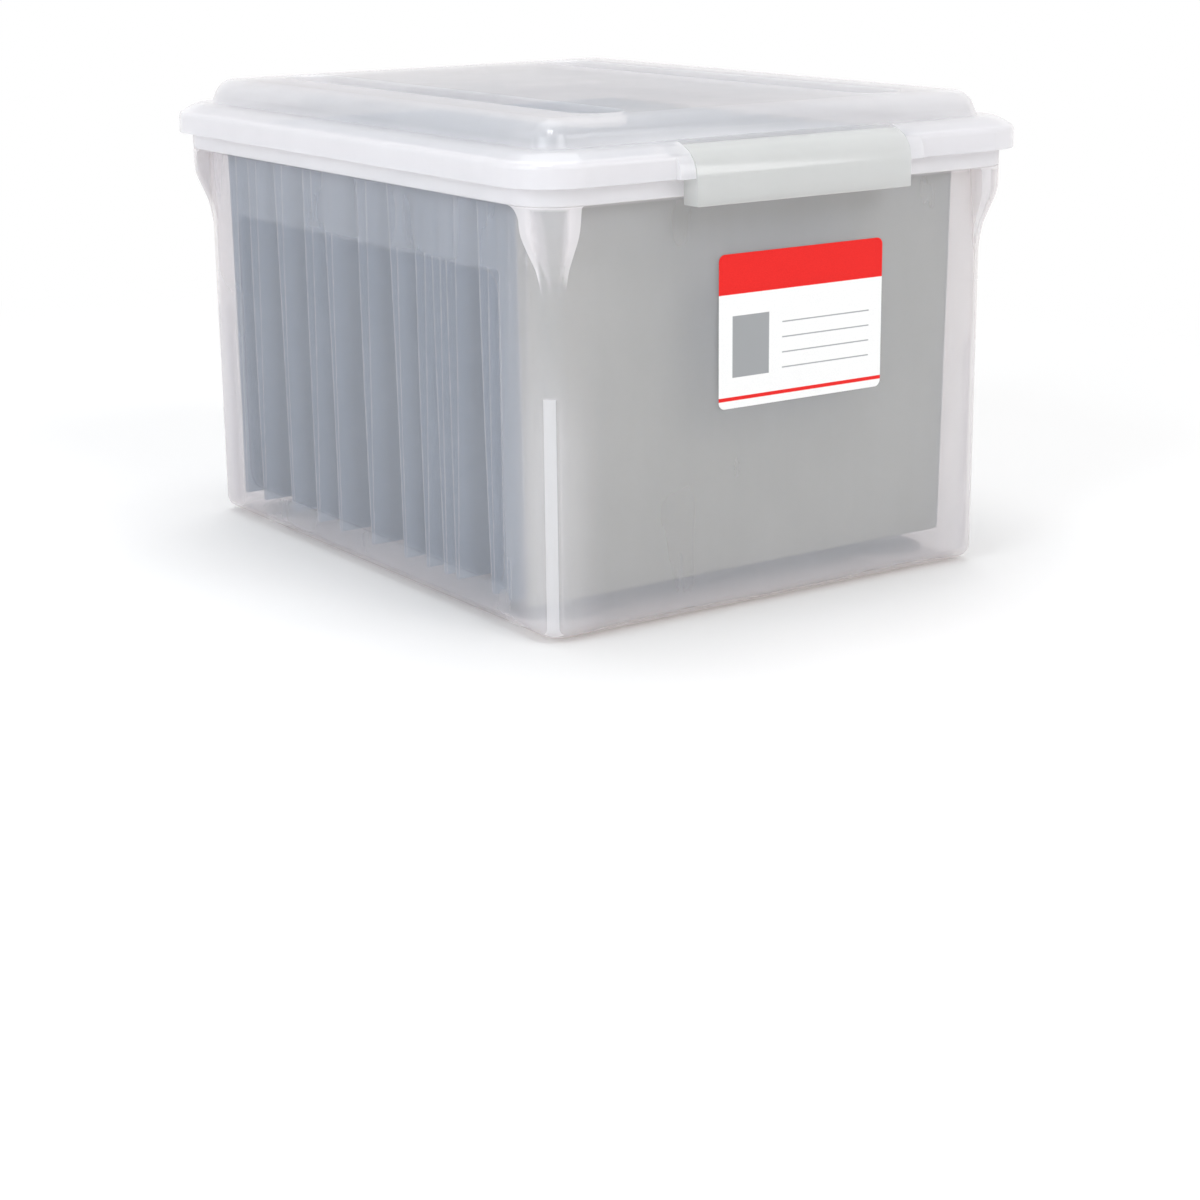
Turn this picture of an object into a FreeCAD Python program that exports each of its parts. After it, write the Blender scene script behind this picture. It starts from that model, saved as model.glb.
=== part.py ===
"""A translucent plastic file box with a lift-off lid, two latches and hanging folders.

Millimetres, +Z up, +X to the right, the labelled front towards -Y. The origin lies on the ground
under the middle of the box.
"""
import FreeCAD, Part
import math
import os
import re

import Sketcher
from FreeCAD import Placement, Rotation, Vector

doc = FreeCAD.newDocument("FileBox")

# Driving dimensions, one spreadsheet row each
SIZES = {
    # tub
    "box_width": 310.6,
    "box_length": 398.6,
    "box_depth": 234.8,
    "box_corner": 14.0,
    "box_wall": 2.0,
    "foot_round": 7.0,
    # rim above the ledge, with the bead that the lid's skirt closes over
    "ledge_width": 10.2,
    "rim_height": 21.5,
    "ledge_round": 1.2,
    "bead_clear": 0.8,
    "bead_height": 3.0,
    "bead_drop": 4.5,
    "rail_height": 9.0,
    "rail_end_gap": 5.0,
    # flared corners under the ledge
    "ear_straight": 14.5,
    "ear_bend_drop": 34.0,
    "ear_bend_out": 2.0,
    "ear_drop": 48.0,
    "ear_side_reach": 9.3,
    "ear_side_foot": 6.3,
    "ear_side_fillet": 9.0,
    "ear_end_reach": 16.6,
    "ear_end_foot": 12.3,
    "ear_end_fillet": 2.0,
    "ear_round": 26.0,
    # clear window panel in each long side
    "panel_end": 46.0,
    "panel_above_floor": 20.0,
    "panel_below_ledge": 39.0,
    "panel_corner": 12.0,
    "panel_sink": 0.5,
    # upright rib inside each corner
    "rib_height": 130.3,
    "rib_reach": 9.0,
    "rib_spread": 3.2,
    # lid
    "lid_wall": 2.0,
    "skirt_gap": 8.0,
    "skirt_depth": 18.2,
    "flange_height": 7.1,
    "flange_fall": 6.0,
    "flange_slope": 11.0,
    "flange_edge_round": 4.0,
    "flange_top_round": 14.0,
    "seat_margin": 0.5,
    "dome_setback": 20.5,
    "dome_corner": 14.0,
    "dome_height": 14.4,
    "dome_lean": 4.0,
    "dome_round": 13.5,
    # long slots in the dome's top
    "slot_width": 32.0,
    "slot_setback": 60.5,
    "slot_end_setback": 42.5,
    "slot_corner": 15.0,
    "slot_depth": 5.5,
    "slot_round": 1.6,
    # latches, and the cheeks on the lid that carry their pins
    "latch_width": 147.4,
    "latch_wall": 2.0,
    "latch_bend": 17.0,
    "latch_proud": 4.8,
    "latch_drop": 1.6,
    "latch_reach": 4.5,
    "latch_end_clear": 0.5,
    "latch_round": 0.8,
    "latch_end_wall": 1.5,
    "hook_height": 2.6,
    "hook_clear": 0.35,
    "pivot_setback": 11.2,
    "pivot_depth": 4.3,
    "barrel_diameter": 5.0,
    "pin_diameter": 3.6,
    "pin_length": 4.0,
    "pin_clear": 0.3,
    "cheek_width": 9.8,
    "cheek_step": 1.0,
    "cheek_foot": 4.2,
    "notch_clear": 0.8,
    "notch_arch": 4.5,
    # glide discs, sunk into seats that stand up inside the floor
    "glide_height": 3.2,
    "glide_sink": 1.6,
    "glide_diameter": 56.0,
    "glide_edge": 0.5,
    "glide_clear": 0.3,
    "glide_from_side": 38.0,
    "glide_from_end": 53.0,
    # front label
    "label_width": 116.0,
    "label_height": 85.6,
    "label_corner": 4.0,
    "label_thickness": 0.25,
    "label_aside": 15.5,
    "label_above_floor": 112.2,
    # hanging folders
    "jacket_side_gap": 4.3,
    "jacket_floor_gap": 9.4,
    "paper": 0.6,
    "fold_width": 3.0,
    "bar_spread": 9.0,
    "bar_thickness": 0.9,
    "bar_above_rail": 4.0,
    "hook_drop": 5.0,
    "hook_side_clear": 0.7,
    "hook_tip": 5.0,
    "hem_clear": 0.3,
    # how far every cutting tool runs past what it cuts
    "overrun": 5.0,
}

# Where each folder hangs, front to rear, in shares of half the tub's length
FOLDER_PLACE_SHARES = (-0.838, -0.753, -0.646, -0.472, -0.395, -0.31, -0.153,
                       0.021, 0.235, 0.357, 0.545, 0.719, 0.855)
# How far each folder's bottom fold swings off its bars' middle, in shares of the bars' spread
FOLDER_SWING_SHARES = (0.05, 0.2, -0.3, 0.15, -0.1, 0.25, -0.35, 0.1, -0.2, 0.3, -0.15, 0.35, 0.3)

sheet = doc.addObject("Spreadsheet::Sheet", "Sizes")
for row, (size_name, size_value) in enumerate(SIZES.items(), start=1):
    sheet.set(f"A{row}", size_name)
    sheet.set(f"B{row}", str(size_value))
    sheet.setAlias(f"B{row}", size_name)
doc.recompute()

# Sizes that follow from the driving ones, as formulas
FLOOR = "(glide_height + box_wall)"
LEDGE = "(glide_height + box_depth)"
RAIL_TOP = f"({LEDGE} + box_wall + rail_height)"
RIM_TOP = f"({LEDGE} + rim_height)"
RIM_WIDTH = "(box_width + 2 * ledge_width)"
RIM_LENGTH = "(box_length + 2 * ledge_width)"
RIM_CORNER = "(box_corner + ledge_width)"
LID_WIDTH = f"({RIM_WIDTH} + 2 * skirt_gap)"
LID_LENGTH = f"({RIM_LENGTH} + 2 * skirt_gap)"
LID_CORNER = f"({RIM_CORNER} + skirt_gap)"
FLANGE = f"({RIM_TOP} + flange_height)"
SKIRT_LOW = f"({FLANGE} - skirt_depth)"
TOP = f"({FLANGE} + dome_height)"
LATCH_OUT = f"({LID_LENGTH} / 2 + latch_proud)"
BEND_LEVEL = f"({FLANGE} - latch_drop - latch_bend)"
PIVOT_OUT = f"({LID_LENGTH} / 2 - pivot_setback)"
PIVOT_LEVEL = f"({FLANGE} - pivot_depth)"
NOTCH_OUT = f"({PIVOT_OUT} - barrel_diameter / 2 - notch_clear)"
NOTCH_WIDTH = "(latch_width + 2 * latch_end_clear)"
CHEEK_SPAN = f"({NOTCH_WIDTH} + 2 * cheek_width)"
BAR_TOP = f"({RAIL_TOP} + bar_above_rail)"
BAR_LOW = f"({RAIL_TOP} - hook_drop)"

XY = Rotation()
XZ = Rotation(Vector(1, 0, 0), 90)
YZ = Rotation(Vector(1, 1, 1), 120)
LEVEL_TOLERANCE = 1e-4
nodes = {}


def formula(text):
    """Points the size names in a formula at their spreadsheet cells."""
    return re.sub(r"[a-z_]+", lambda word: f"Sizes.{word[0]}" if word[0] in SIZES else word[0], text)


def value(text):
    """The number that a formula gives now."""
    return float(sheet.evalExpression(formula(text)))


def bind(item, **formulas):
    """Binds properties of an object to formulas; a double underscore stands for a dot."""
    for name, text in formulas.items():
        item.setExpression(name.replace("__", "."), formula(text))
    return item


def node(name, item):
    """Keeps an object as one of the finished sub-parts."""
    item.Label = name
    nodes[name] = item
    return item


def new_body(name):
    """An empty body."""
    return doc.addObject("PartDesign::Body", name)


def new_sketch(owner, name, turn=XY, level="0"):
    """A sketch in a body or in the document, turned to its plane and lifted along Z."""
    if owner is doc:
        sketch = doc.addObject("Sketcher::SketchObject", name)
        sketch.Placement = Placement(Vector(), turn)
        return bind(sketch, Placement__Base__z=level)
    role = {id(XY): "XY_Plane", id(XZ): "XZ_Plane", id(YZ): "YZ_Plane"}[id(turn)]
    plane = next(item for item in owner.Origin.OriginFeatures if item.Role == role)
    sketch = owner.newObject("Sketcher::SketchObject", name)
    sketch.AttachmentSupport = [(plane, "")]
    sketch.MapMode = "FlatFace"
    return bind(sketch, AttachmentOffset__Base__z=level)


def constrain(sketch, kind, *place, size=None):
    """Adds a constraint, with a size given as a formula."""
    if size is None:
        sketch.addConstraint(Sketcher.Constraint(kind, *place))
        return
    index = sketch.addConstraint(Sketcher.Constraint(kind, *place, value(size)))
    bind(sketch, **{f"Constraints[{index}]": size})


def draw_outline(sketch, wide, long, corner, aside="0", ahead="0"):
    """Draws a rounded rectangle about a centre: four lines, four tangent arcs."""
    first = sketch.GeometryCount
    half_x, half_y, radius = value(wide) / 2, value(long) / 2, value(corner)
    middle = Vector(value(aside), value(ahead), 0)
    turns = ((1, -1), (1, 1), (-1, 1), (-1, -1))
    for quarter, (sign_x, sign_y) in enumerate(turns):
        centre = middle + Vector(sign_x * (half_x - radius), sign_y * (half_y - radius), 0)
        start = math.radians(90 * (quarter - 1))
        circle = Part.Circle(centre, Vector(0, 0, 1), radius)
        sketch.addGeometry(Part.ArcOfCircle(circle, start, start + math.pi / 2))
    for quarter in range(4):
        arc, after = first + quarter, first + (quarter + 1) % 4
        line = sketch.addGeometry(Part.LineSegment(sketch.getPoint(arc, 2), sketch.getPoint(after, 1)))
        constrain(sketch, "Tangent", arc, 2, line, 1)
        constrain(sketch, "Tangent", line, 2, after, 1)
        constrain(sketch, "Horizontal" if quarter % 2 else "Vertical", line)
    for quarter in range(1, 4):
        constrain(sketch, "Equal", first, first + quarter)
    constrain(sketch, "Radius", first, size=corner)
    constrain(sketch, "DistanceX", first + 2, 3, first, 3, size=f"{wide} - 2 * ({corner})")
    constrain(sketch, "DistanceY", first, 3, first + 1, 3, size=f"{long} - 2 * ({corner})")
    constrain(sketch, "DistanceX", -1, 1, first, 3, size=f"{aside} + ({wide}) / 2 - ({corner})")
    constrain(sketch, "DistanceY", -1, 1, first + 1, 3, size=f"{ahead} + ({long}) / 2 - ({corner})")
    return sketch


def draw_loop(sketch, points):
    """Draws a closed loop of (across, up) formulas; a third entry (radius, across, up of the
    centre, whether it turns left) makes the stretch to the next point an arc."""
    first = sketch.GeometryCount
    spots = [Vector(value(point[0]), value(point[1]), 0) for point in points]
    ends = []
    for number, point in enumerate(points):
        begin = spots[number]
        end = spots[(number + 1) % len(spots)]
        if len(point) == 2:
            sketch.addGeometry(Part.LineSegment(begin, end))
            ends.append((1, 2))
            continue
        radius, across, up, turns_left = point[2]
        centre = Vector(value(across), value(up), 0)
        angles = [math.atan2(spot.y - centre.y, spot.x - centre.x) for spot in (begin, end)]
        circle = Part.Circle(centre, Vector(0, 0, 1), value(radius))
        sketch.addGeometry(Part.ArcOfCircle(circle, *(angles if turns_left else reversed(angles))))
        ends.append((1, 2) if turns_left else (2, 1))
    for number, point in enumerate(points):
        after = (number + 1) % len(points)
        constrain(sketch, "Coincident", first + number, ends[number][1], first + after, ends[after][0])
        constrain(sketch, "DistanceX", -1, 1, first + number, ends[number][0], size=point[0])
        constrain(sketch, "DistanceY", -1, 1, first + number, ends[number][0], size=point[1])
        if len(point) == 3:
            constrain(sketch, "Radius", first + number, size=point[2][0])
    return sketch


def draw_circle(sketch, across, up, diameter):
    """Draws a circle about a point."""
    spot = Vector(value(across), value(up), 0)
    circle = sketch.addGeometry(Part.Circle(spot, Vector(0, 0, 1), value(diameter) / 2))
    constrain(sketch, "Diameter", circle, size=diameter)
    constrain(sketch, "DistanceX", -1, 1, circle, 3, size=across)
    constrain(sketch, "DistanceY", -1, 1, circle, 3, size=up)
    return sketch


def pad(body, sketch, length, symmetric=False):
    """Pads a sketch, upwards or to both sides of its plane."""
    feature = body.newObject("PartDesign::Pad", f"{sketch.Name}Pad")
    feature.Profile = sketch
    feature.SideType = "Symmetric" if symmetric else "One side"
    return bind(feature, Length=length)


def loft(body, lower, upper):
    """Joins two sketches by straight sides."""
    feature = body.newObject("PartDesign::AdditiveLoft", f"{lower.Name}Loft")
    feature.Profile = lower
    feature.Sections = [upper]
    feature.Ruled = True
    return feature


def round_level(body, level, radius, within=None):
    """Rounds the edges of a body that lie level at one height, or only those inside an outline
    of given half width and half length."""
    doc.recompute()
    tip = body.Tip
    height = value(level)
    names = []
    for number, edge in enumerate(tip.Shape.Edges, start=1):
        box = edge.BoundBox
        flat = box.ZLength < LEVEL_TOLERANCE and abs(box.ZMin - height) < LEVEL_TOLERANCE
        inside = within is None or (abs(box.Center.x) < within[0] and abs(box.Center.y) < within[1])
        if flat and inside:
            names.append(f"Edge{number}")
    feature = body.newObject("PartDesign::Fillet", f"{body.Name}Round{len(body.Group)}")
    feature.Base = (tip, names)
    return bind(feature, Radius=radius)


def extrude(sketch, length, symmetric=True):
    """Extrudes a sketch of the document along its normal."""
    item = doc.addObject("Part::Extrusion", f"{sketch.Name}Extrusion")
    item.Base = sketch
    item.DirMode = "Normal"
    item.Solid = True
    item.Symmetric = symmetric
    return bind(item, LengthFwd=length)


def slab(name, wide, long, high, x, y, z):
    """A box by its size and its lowest corner."""
    item = doc.addObject("Part::Box", name)
    return bind(item, Length=wide, Width=long, Height=high,
                Placement__Base__x=x, Placement__Base__y=y, Placement__Base__z=z)


def fuse(name, *items):
    """Joins solids."""
    result = doc.addObject("Part::MultiFuse", name)
    result.Shapes = list(items)
    return result


def common(name, *items):
    """What solids share."""
    result = doc.addObject("Part::MultiCommon", name)
    result.Shapes = list(items)
    return result


def cut(name, base, tool):
    """Takes one solid out of another."""
    result = doc.addObject("Part::Cut", name)
    result.Base = base
    result.Tool = tool
    return result


def block(name, wide, long, corner, low, high):
    """A body with one upright prism of rounded outline."""
    body = new_body(name)
    sketch = draw_outline(new_sketch(body, f"{name}Outline", level=low), wide, long, corner)
    pad(body, sketch, f"{high} - ({low})")
    return body


# The box is one outer form less the same form a wall smaller
def flared_corners(name, shell):
    """The corner flares: a collar from the rim's outline in to the tub's, kept at the corners."""
    straight = f"({LEDGE} - ear_straight)"
    bend = f"({LEDGE} - ear_bend_drop)"
    foot = f"({LEDGE} - ear_drop)"
    collar = new_body(f"{name}Collar")

    def outline(part, level, out):
        sketch = new_sketch(collar, f"{name}{part}", level=level)
        return draw_outline(sketch, f"box_width + 2 * ({out} - {shell})",
                            f"box_length + 2 * ({out} - {shell})", f"box_corner + {out} - {shell}")

    loft(collar, outline("Foot", foot, "0"), outline("BendLow", bend, "ear_bend_out"))
    loft(collar, outline("Bend", bend, "ear_bend_out"), outline("StraightLow", straight, "ledge_width"))
    pad(collar, outline("Straight", straight, "ledge_width"), f"ear_straight + {shell}")
    round_level(collar, bend, f"ear_round + {shell}")
    round_level(collar, straight, f"ear_round - {shell}")
    windows = []
    sides = ((YZ, "box_length", "ear_side", RIM_WIDTH), (XZ, "box_width", "ear_end", RIM_LENGTH))
    for turn, across, edge, depth in sides:
        sketch = new_sketch(doc, f"{name}{edge.title().replace('_', '')}", turn)
        high = f"{LEDGE} + box_wall + overrun"
        fillet = f"({edge}_fillet + {shell})"
        for sign, turns_left in (("-", False), ("", True)):
            outer = f"{sign}({across} / 2 + ledge_width + overrun)"
            toe = f"{sign}({across} / 2 - {edge}_foot + {shell})"
            reach = f"{sign}({across} / 2 - {edge}_reach + {shell})"
            inner = f"{sign}({across} / 2 - {edge}_reach + {shell} - {fillet})"
            level = f"{LEDGE} + {shell} - {fillet}"
            draw_loop(sketch, [(outer, f"{foot} + {shell}"), (toe, f"{foot} + {shell}"),
                               (reach, level, (fillet, inner, level, turns_left)),
                               (inner, f"{LEDGE} + {shell}"), (inner, high), (outer, high)])
        windows.append(extrude(sketch, f"{depth} + 2 * overrun"))
    return common(f"{name}Flares", collar, *windows)


def box_form(name, shell, rim_top):
    """Tub, rim and flared corners, drawn in by a shell thickness."""
    inset = f"2 * {shell}"
    tub = block(f"{name}Tub", f"box_width - {inset}", f"box_length - {inset}", f"box_corner - {shell}",
                f"(glide_height + {shell})", f"({LEDGE} + box_wall)")
    round_level(tub, f"glide_height + {shell}", f"foot_round - {shell}")
    rim = block(f"{name}Rim", f"{RIM_WIDTH} - {inset}", f"{RIM_LENGTH} - {inset}",
                f"{RIM_CORNER} - {shell}", f"({LEDGE} + {shell})", rim_top)
    round_level(rim, f"{LEDGE} + {shell}", "ledge_round")
    return fuse(f"{name}Form", tub, rim, flared_corners(name, shell))


def bead_ring():
    """The bead round the rim, open where the latches' hooks pass."""
    inset = "(lid_wall + bead_clear)"
    low = f"({RIM_TOP} - bead_drop)"
    ring = block("Bead", f"{LID_WIDTH} - 2 * {inset}", f"{LID_LENGTH} - 2 * {inset}",
                 f"{LID_CORNER} - {inset}", f"({low} - bead_height)", low)
    gap = slab("BeadGap", NOTCH_WIDTH, f"{LID_LENGTH} + 2 * overrun", "bead_height + 2 * overrun",
               f"-{NOTCH_WIDTH} / 2", f"-{LID_LENGTH} / 2 - overrun", f"{low} - bead_height - overrun")
    return cut("BeadRing", ring, gap)


def corner_ribs():
    """Four upright ribs set across the corners."""
    sketch = new_sketch(doc, "CornerRibs", level="glide_height - overrun")
    for x in ("-", ""):
        for y in ("-", ""):
            near, far = "rib_reach - rib_spread", "rib_reach + rib_spread"
            half_x, half_y = "box_width / 2", "box_length / 2"
            loop = [(f"{x}({half_x} - ({far}))", f"{y}({half_y} - ({near}))"),
                    (f"{x}({half_x} - ({near}))", f"{y}({half_y} - ({far}))"),
                    (f"{x}({half_x} + rib_spread)", f"{y}({half_y} - rib_spread)"),
                    (f"{x}({half_x} - rib_spread)", f"{y}({half_y} + rib_spread)")]
            draw_loop(sketch, loop)
    return extrude(sketch, "overrun + box_wall + rib_height", symmetric=False)


def window_panels():
    """The shallow panels sunk into the long sides."""
    sketch = new_sketch(doc, "WindowPanels", YZ)
    high = f"({LEDGE} - panel_below_ledge - {FLOOR} - panel_above_floor)"
    draw_outline(sketch, "box_length - 2 * panel_end", high, "panel_corner",
                 ahead=f"{FLOOR} + panel_above_floor + {high} / 2")
    bar = extrude(sketch, "box_width + 2 * overrun")
    core = slab("PanelCore", "box_width - 2 * panel_sink", "box_length", LEDGE,
                "panel_sink - box_width / 2", "-box_length / 2", "0")
    return cut("PanelTools", bar, core)


def glide_places():
    """Each glide disc's name and the formulas of its middle."""
    for end, y in (("front", "-"), ("rear", "")):
        for side, x in (("left", "-"), ("right", "")):
            place = (f"{x}(box_width / 2 - glide_from_side)", f"{y}(box_length / 2 - glide_from_end)")
            yield f"{end}_{side}_glide_disc", place


def round_seats(name, margin, top):
    """Four upright cylinders about the glide discs, from under the floor up to a level."""
    low = "(glide_height - overrun)"
    sketch = new_sketch(doc, name, level=low)
    for _, (x, y) in glide_places():
        draw_circle(sketch, x, y, f"glide_diameter + 2 * ({margin})")
    return extrude(sketch, f"{top} - {low}", symmetric=False)


def hanging_rails():
    """The two rails that stand on the ledge along the long sides."""
    long = "(box_length - 2 * box_wall - 2 * rail_end_gap)"
    low = f"({LEDGE} + box_wall / 2)"
    for side, x in (("Left", "-box_width / 2"), ("Right", "box_width / 2 - box_wall")):
        yield slab(f"{side}Rail", "box_wall", long, f"{RAIL_TOP} - {low}", x, f"-{long} / 2", low)


seat_walls = round_seats("SeatWalls", "glide_clear + box_wall", f"{FLOOR} + glide_sink")
seats = round_seats("Seats", "glide_clear", "glide_height + glide_sink")
hollow = cut("BoxHollow", box_form("Inner", "box_wall", f"({RIM_TOP} + overrun)"),
             fuse("InnerSolids", corner_ribs(), seat_walls))
box_outside = fuse("BoxOutside", box_form("Outer", "0", RIM_TOP), bead_ring())
box_shell = cut("BoxShell", box_outside, fuse("BoxTools", hollow, window_panels(), seats))
node("box_body", fuse("BoxBody", box_shell, *hanging_rails()))


# The lid is built the same way, then gets the cheeks and notches for the latches
def lid_form(name, shell, low):
    """Skirt, sloping flange, dome and its two slots, drawn in by a shell thickness."""
    edge = f"({FLANGE} - flange_fall - {shell})"
    flange = f"({FLANGE} - {shell})"
    top = f"({TOP} - {shell})"

    def outline(part, level, inset, corner):
        sketch = new_sketch(body, f"{name}{part}", level=level)
        return draw_outline(sketch, f"{LID_WIDTH} - 2 * ({inset})", f"{LID_LENGTH} - 2 * ({inset})", corner)

    body = new_body(name)
    pad(body, outline("Skirt", low, shell, f"{LID_CORNER} - {shell}"), f"{edge} - ({low})")
    loft(body, outline("Edge", edge, shell, f"{LID_CORNER} - {shell}"),
         outline("Slope", flange, f"flange_slope + {shell}", f"{LID_CORNER} - flange_slope - {shell}"))
    round_level(body, edge, f"flange_edge_round - {shell}")
    round_level(body, flange, f"flange_top_round - {shell}")
    foot = f"dome_setback + {shell}"
    loft(body, outline("DomeFoot", flange, foot, f"dome_corner - {shell}"),
         outline("DomeTop", top, f"{foot} + dome_lean", f"dome_corner - {shell}"))
    round_level(body, top, f"dome_round - {shell}")
    mouths = new_sketch(body, f"{name}SlotMouths", level=top)
    for side in ("-", ""):
        draw_outline(mouths, f"slot_width + 2 * {shell}", f"{LID_LENGTH} - 2 * slot_end_setback + 2 * {shell}",
                     f"slot_corner + {shell}", aside=f"{side}({LID_WIDTH} / 2 - slot_setback - slot_width / 2)")
    slots = body.newObject("PartDesign::Pocket", f"{name}Slots")
    slots.Profile = mouths
    bind(slots, Length="slot_depth")
    half = (value(f"{LID_WIDTH} / 2 - slot_setback + {shell} + slot_round"),
            value(f"{LID_LENGTH} / 2 - slot_end_setback + {shell} + slot_round"))
    round_level(body, f"{top} - slot_depth", "slot_round", half)
    round_level(body, top, "slot_round", half)
    return body


def seat_ring():
    """The ring under the flange that rests on the rim's top edge."""
    outer, inner = "(skirt_gap - seat_margin)", "(skirt_gap + box_wall + seat_margin)"
    rings = [block(f"Seat{name}", f"{LID_WIDTH} - 2 * {inset}", f"{LID_LENGTH} - 2 * {inset}",
                   f"{LID_CORNER} - {inset}", low, f"({FLANGE} - lid_wall + {more})")
             for name, inset, low, more in (("Outer", outer, RIM_TOP, "0"),
                                            ("Inner", inner, f"({RIM_TOP} - overrun)", "overrun"))]
    return cut("SeatRing", *rings)


def end_slab(name, wide, inner, outer, low, high):
    """Two boxes, one across each end of the box, between two distances from the middle."""
    deep = f"({outer} - ({inner}))"
    return fuse(name, *(slab(f"{name}{side}", wide, deep, f"{high} - ({low})", f"-({wide}) / 2", y, low)
                        for side, y in (("Front", f"-({outer})"), ("Rear", inner))))


def cheeks():
    """The rounded strips across both ends, which the notches divide into pairs of cheeks."""
    bend = "(skirt_depth - cheek_foot)"
    out = f"({LATCH_OUT} - cheek_step)"
    top = f"({FLANGE} - latch_drop - cheek_step)"
    sketch = new_sketch(doc, "Cheeks", YZ)
    for sign, turns_left in (("-", True), ("", False)):
        centre = f"{sign}({out} - {bend})"
        draw_loop(sketch, [(f"{sign}{NOTCH_OUT}", SKIRT_LOW), (f"{sign}{NOTCH_OUT}", top),
                           (centre, top, (bend, centre, f"{top} - {bend}", turns_left)),
                           (f"{sign}{out}", f"{top} - {bend}"), (f"{sign}{out}", SKIRT_LOW)])
    return extrude(sketch, CHEEK_SPAN)


def latch_notches():
    """The openings for the latches, with an arched back."""
    radius = f"(({NOTCH_WIDTH} * {NOTCH_WIDTH} / 4 + notch_arch * notch_arch) / (2 * notch_arch))"
    left, right = f"-{NOTCH_WIDTH} / 2", f"{NOTCH_WIDTH} / 2"
    sketch = new_sketch(doc, "LatchNotches", level=f"{SKIRT_LOW} - overrun")
    for sign, turns_left in (("-", False), ("", True)):
        outer = f"{sign}({LATCH_OUT} + overrun)"
        back = f"{sign}{NOTCH_OUT}"
        centre = f"{sign}({NOTCH_OUT} - notch_arch + {radius})"
        draw_loop(sketch, [(right, outer), (left, outer), (left, back, (radius, "0", centre, turns_left)),
                           (right, back)])
    return extrude(sketch, f"{TOP} - {SKIRT_LOW} + 2 * overrun", symmetric=False)


def pin_bores():
    """The bores for the latches' pins, right across both ends."""
    sketch = new_sketch(doc, "PinBores", YZ)
    for sign in ("-", ""):
        draw_circle(sketch, f"{sign}{PIVOT_OUT}", PIVOT_LEVEL, "pin_diameter + 2 * pin_clear")
    return extrude(sketch, f"{NOTCH_WIDTH} + 2 * pin_length")


lid_outside = fuse("LidOutside", lid_form("LidOuter", "0", SKIRT_LOW), cheeks())
boss = end_slab("PinBoss", CHEEK_SPAN, f"{NOTCH_OUT} - notch_arch - lid_wall", f"{LID_LENGTH} / 2",
                f"{RIM_TOP} + pin_clear", TOP)
lid_hollow = cut("LidHollow", lid_form("LidInner", "lid_wall", f"({SKIRT_LOW} - overrun)"), boss)
lid_shell = fuse("LidShell", cut("LidRough", lid_outside, lid_hollow), seat_ring())
node("lid", cut("Lid", lid_shell, fuse("LidTools", latch_notches(), pin_bores())))


def latch(name, turn):
    """A bent shell with a hook along its lower edge, short end walls, a barrel along its top and a pin
    at each end."""
    low = f"({LEDGE} - latch_reach)"
    centre = f"-({LATCH_OUT} - latch_bend)"
    inner = "(latch_bend - latch_wall)"
    hook = f"-({RIM_LENGTH} / 2 + hook_clear)"
    body = new_body(name.title().replace("_", ""))
    profile = [(centre, f"{BEND_LEVEL} + latch_bend", ("latch_bend", centre, BEND_LEVEL, True)),
               (f"-{LATCH_OUT}", BEND_LEVEL), (f"-{LATCH_OUT}", low), (hook, low),
               (hook, f"{low} + hook_height"), (f"latch_wall - {LATCH_OUT}", f"{low} + hook_height"),
               (f"latch_wall - {LATCH_OUT}", BEND_LEVEL, (inner, centre, BEND_LEVEL, False)),
               (centre, f"{BEND_LEVEL} + {inner}")]
    pad(body, draw_loop(new_sketch(body, f"{body.Name}Shell", YZ), profile), "latch_width", True)
    round_level(body, low, "latch_round")
    inside = [(f"latch_wall - {LATCH_OUT}", f"{low} + hook_height"), (hook, f"{low} + hook_height"),
              (hook, BEND_LEVEL), (f"latch_wall - {LATCH_OUT}", BEND_LEVEL)]
    pad(body, draw_loop(new_sketch(body, f"{body.Name}Ends", YZ), inside), "latch_width", True)
    room = body.newObject("PartDesign::Pocket", f"{body.Name}Room")
    room.Profile = draw_loop(new_sketch(body, f"{body.Name}RoomSide", YZ), inside)
    room.SideType = "Symmetric"
    bind(room, Length="latch_width - 2 * latch_end_wall")
    pin_span = f"{NOTCH_WIDTH} + 2 * pin_length - 2 * pin_clear"
    for part, diameter, length in (("Barrel", "barrel_diameter", "latch_width"),
                                   ("Pin", "pin_diameter", pin_span)):
        sketch = new_sketch(body, f"{body.Name}{part}", YZ)
        pad(body, draw_circle(sketch, f"-{PIVOT_OUT}", PIVOT_LEVEL, diameter), length, True)
    body.Placement = Placement(Vector(), Rotation(Vector(0, 0, 1), turn))
    return node(name, body)


latch("front_latch", 0)
latch("rear_latch", 180)


def glide_disc(name, x, y):
    """A round glide that fills its seat and stands out below the floor."""
    body = new_body(name.title().replace("_", ""))
    disc = draw_circle(new_sketch(body, f"{body.Name}Disc"), x, y, "glide_diameter")
    pad(body, disc, "glide_height + glide_sink")
    round_level(body, "0", "glide_edge")
    return node(name, body)


for disc_name, disc_place in glide_places():
    glide_disc(disc_name, *disc_place)


def front_label():
    """A sticker with rounded corners on the front wall."""
    sketch = new_sketch(doc, "LabelOutline", XZ)
    bind(sketch, Placement__Base__y="-box_length / 2")
    draw_outline(sketch, "label_width", "label_height", "label_corner", aside="label_aside",
                 ahead=f"{FLOOR} + label_above_floor + label_height / 2")
    return node("front_label", extrude(sketch, "label_thickness", symmetric=False))


front_label()


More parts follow.
